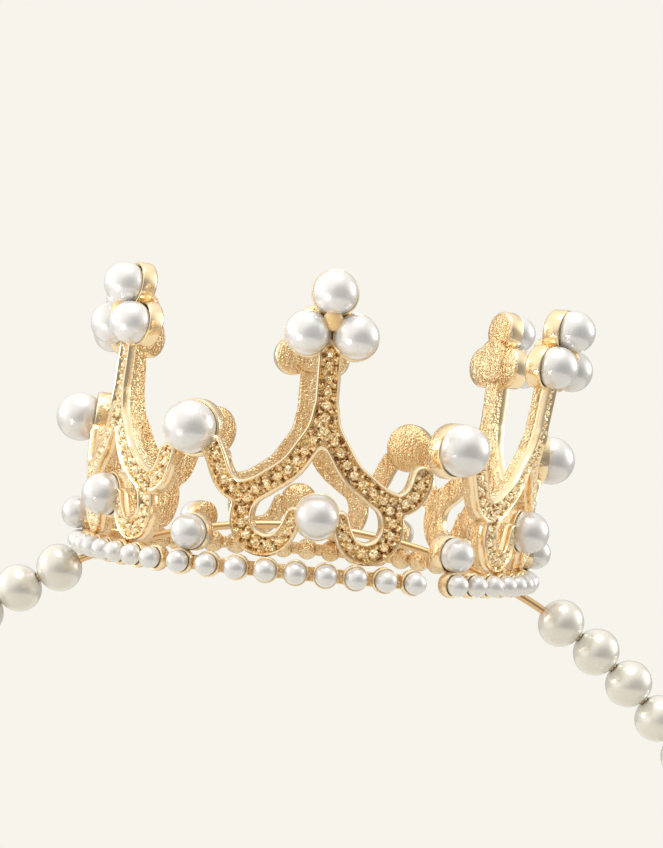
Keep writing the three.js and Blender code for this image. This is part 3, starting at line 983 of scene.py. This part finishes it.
for k in range(PANELS):
    number, bend, turn, pressed = k + 1, STEM_BENDS[k], PANEL_TURN * k + TURN[k], PRESSED[k]
    corner = tuple(np.add(CORNER, (*CORNER_OFF[k], 0)))
    mesh = flat_casting(open_mesh, pressed, corner)
    flat = coordinates(mesh)
    places = np.stack([flat[:, 0], flat[:, 2], -flat[:, 1]], 1)
    mesh.vertices.foreach_set("co", on_crown(places, bend, turn).astype(np.float32).ravel())
    recess, rough = surfaces(field, flat, unpressed(places, pressed), corner)
    add_field(mesh, "flat", "FLOAT_VECTOR", flat + (0, 0, 40.0 * k))
    add_field(mesh, "recess", "FLOAT", recess)
    add_field(mesh, "rough", "FLOAT", rough)
    finish_mesh(mesh, 34)
    crown_piece("casting", number, mesh, gilt)

    def at(places, r, bent=STRAIGHT):
        return [(Vector(p), r * MM) for p in on_crown(places, bent, turn)]

    crown_piece("base_pearls", number, balls(at(pressed_in(BASE, pressed), BASE_R), 4), white)
    crown_piece("low_pearl", number, balls(at([LOW], LOW_R), 4), white)
    crown_piece("corner_pearl", number, balls(at([corner], CORNER_R), 5), white)
    crown_piece("heart_pearl", number, balls(at([HEART], HEART_R), 4), white)
    drop = at([(MOTIF, TIPS[1][1] + 1.53, 30.3)], 1.15, bend)
    tips = balls(at(TIPS, TIP_R, bend) + drop, 4)
    crown_piece("tip_pearls", number, tips, [white, glue])
    count = len(tips.polygons)
    in_drop = np.arange(count) >= count * 3 // 4
    tips.polygons.foreach_set("material_index", in_drop.astype(np.int32))

bpy.data.meshes.remove(open_mesh)

# ---- the band -----------------------------------------------------------------------------

piece("wire_middle", wire(1, -MIDDLE_TO, MIDDLE_TO), "crown", "gilt_wire", wire_gilt)
for hand, side in (("left", -1), ("right", 1)):
    first = FIRST_BEAD[hand]
    piece(f"{hand}_saddle", saddle(side), "crown", "gilt", smooth_gilt)
    arm_wire = wire(side, ARM_FROM, TIP_FROM + 2.2)
    arm = piece(f"{hand}_arm_wire", arm_wire, None, "gilt_wire", wire_gilt)
    start, end = (arch(side, degrees)[0] for degrees in ARM_BLEND)
    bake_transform(arm)
    piece(f"{hand}_tip", tip_cap(side), f"{hand}_arm", "gilt", smooth_gilt)
    for i in range(FREE_BEADS):
        body = f"{hand}_bead_{i + 1}"
        piece(body, beads(side, [first + BEAD_STEP * i]), body, "ivory_pearl", ivory)
    start = first + BEAD_STEP * FREE_BEADS
    for i, count in enumerate(ROWS):
        places = [start + BEAD_STEP * j for j in range(count)]
        piece(f"{hand}_bead_row_{i + 1}", beads(side, places), f"{hand}_beads", "ivory_pearl", ivory)
        start += BEAD_STEP * count

# ---- camera -------------------------------------------------------------------------------

LENS = 84.07
AZIMUTH, ELEVATION, ROLL = (math.radians(v) for v in (0.224, -0.823, 5.345))
DISTANCE, SHIFT_RIGHT, SHIFT_UP = 247.242, 3.178, 16.967

back = Vector((
    math.sin(AZIMUTH) * math.cos(ELEVATION), -math.cos(AZIMUTH) * math.cos(ELEVATION),
    math.sin(ELEVATION)))
level = Vector((math.cos(AZIMUTH), math.sin(AZIMUTH), 0))
upright = back.cross(level)
right = level * math.cos(ROLL) + upright * math.sin(ROLL)
up = upright * math.cos(ROLL) - level * math.sin(ROLL)
eye = (Vector((0, 0, RIM_Z)) + back * DISTANCE + right * SHIFT_RIGHT + up * SHIFT_UP) * MM

camera_data = bpy.data.cameras.new("camera")
camera_data.lens = LENS
camera_data.sensor_width = 36.0
camera_data.clip_start, camera_data.clip_end = 0.01, 10.0
camera = bpy.data.objects.new("camera", camera_data)
bpy.context.scene.collection.objects.link(camera)
camera.matrix_world = Matrix.Translation(eye) @ Matrix((right, up, back)).transposed().to_4x4()
bpy.context.scene.camera = camera

# ---- floor and light ----------------------------------------------------------------------

BACKGROUND = (0.930, 0.905, 0.838)
FLOOR_R = 0.24


def pale_floor():
    bm = bmesh.new()
    z = cad_box[0].z - 0.0006
    bmesh.ops.create_circle(
        bm, cap_ends=True, segments=96, radius=FLOOR_R, matrix=Matrix.Translation((0, 0, z)))
    floor = mesh_object("floor", bm)
    n = Nodes("pale floor")
    where = n.add("ShaderNodeTexCoord").outputs["Object"]
    flat_way = n.add("ShaderNodeVectorMath", {0: where, 1: (1, 1, 0)}, operation="MULTIPLY")
    length = n.add("ShaderNodeVectorMath", {0: flat_way.outputs[0]}, operation="LENGTH")
    fade = n.add("ShaderNodeMapRange", {
        "Value": length.outputs["Value"], "From Min": FLOOR_R * 0.5, "From Max": FLOOR_R * 0.95},
        interpolation_type="SMOOTHSTEP").outputs[0]
    cloth = n.noise(where, 60.0, 2.0)
    n.set(Base_Color=n.mix(cloth, colour(0.64, 0.62, 0.575), colour(0.67, 0.65, 0.605)), Roughness=0.7)
    glow = n.add("ShaderNodeEmission", {"Color": (*BACKGROUND, 1.0), "Strength": 1.0})
    mixed = n.add("ShaderNodeMixShader", {0: fade})
    n.tree.links.new(n.shader.outputs[0], mixed.inputs[1])
    n.tree.links.new(glow.outputs[0], mixed.inputs[2])
    n.tree.links.new(mixed.outputs[0], n.tree.nodes["Material Output"].inputs["Surface"])
    floor.data.materials.append(n.material)


def area_light(name, way, distance, size, power, tint=(1, 1, 1)):
    """A square soft light in a direction seen from the camera: right, up and towards it."""
    way = (right * way[0] + up * way[1] + back * way[2]).normalized()
    target = Vector((0, 0, 0.012))
    data = bpy.data.lights.new(name, "AREA")
    data.shape = "DISK"
    data.size = size
    data.energy = power
    data.color = tint
    lamp = bpy.data.objects.new(name, data)
    bpy.context.scene.collection.objects.link(lamp)
    lamp.location = target + way * distance
    lamp.rotation_mode = "QUATERNION"
    lamp.rotation_quaternion = way.to_track_quat("Z", "Y")


def surroundings():
    """A pale room, with a darker part in front of the object to its right."""
    world = bpy.data.worlds.new("room")
    bpy.context.scene.world = world
    world.use_nodes = True
    tree = world.node_tree
    nodes, links = tree.nodes, tree.links
    where = nodes.new("ShaderNodeTexCoord").outputs["Generated"]

    def patch(way, inner, outer):
        """1 within inner degrees of a direction, 0 beyond outer degrees."""
        way = (right * way[0] + up * way[1] + back * way[2]).normalized()
        dot = nodes.new("ShaderNodeVectorMath")
        dot.operation = "DOT_PRODUCT"
        links.new(where, dot.inputs[0])
        dot.inputs[1].default_value = way
        spread = nodes.new("ShaderNodeMapRange")
        spread.interpolation_type = "SMOOTHSTEP"
        links.new(dot.outputs["Value"], spread.inputs["Value"])
        spread.inputs["From Min"].default_value = math.cos(math.radians(outer))
        spread.inputs["From Max"].default_value = math.cos(math.radians(inner))
        return spread.outputs[0]

    def mixed(factor, a, b):
        node = nodes.new("ShaderNodeMix")
        node.data_type = "RGBA"
        links.new(factor, node.inputs[0])
        for key, value in ((6, a), (7, b)):
            if isinstance(value, bpy.types.NodeSocket):
                links.new(value, node.inputs[key])
            else:
                node.inputs[key].default_value = (*value, 1.0)
        return node.outputs[2]

    room = mixed(patch((-0.3, 1.0, 0.1), 30, 100), (0.50, 0.48, 0.44), (1.15, 1.12, 1.05))
    room = mixed(patch((0.45, -0.15, 1.0), 6, 52), room, (0.30, 0.295, 0.29))
    room = mixed(patch((-0.55, -0.9, 0.35), 12, 40), room, (0.12, 0.10, 0.08))
    room = mixed(patch((1.0, 0.3, -0.1), 14, 34), room, (1.3, 1.27, 1.2))
    room = mixed(patch((-1.0, 0.1, 0.3), 14, 34), room, (1.3, 1.27, 1.2))
    seen = mixed(nodes.new("ShaderNodeLightPath").outputs["Is Camera Ray"], room, BACKGROUND)
    links.new(seen, nodes["Background"].inputs["Color"])
    nodes["Background"].inputs["Strength"].default_value = 1.0


pale_floor()
surroundings()
area_light("key", (-0.62, -0.40, 0.67), 0.5, 0.075, 2.9, (1.0, 0.985, 0.96))
area_light("top", (0.1, 1.0, 0.2), 0.6, 0.35, 1.2)
area_light("left", (-1.0, 0.35, -0.1), 0.6, 0.3, 0.9, (1.0, 0.97, 0.92))
area_light("right", (1.0, 0.2, -0.3), 0.6, 0.3, 0.8, (1.0, 0.98, 0.95))
bpy.context.scene.view_settings.view_transform = "Standard"
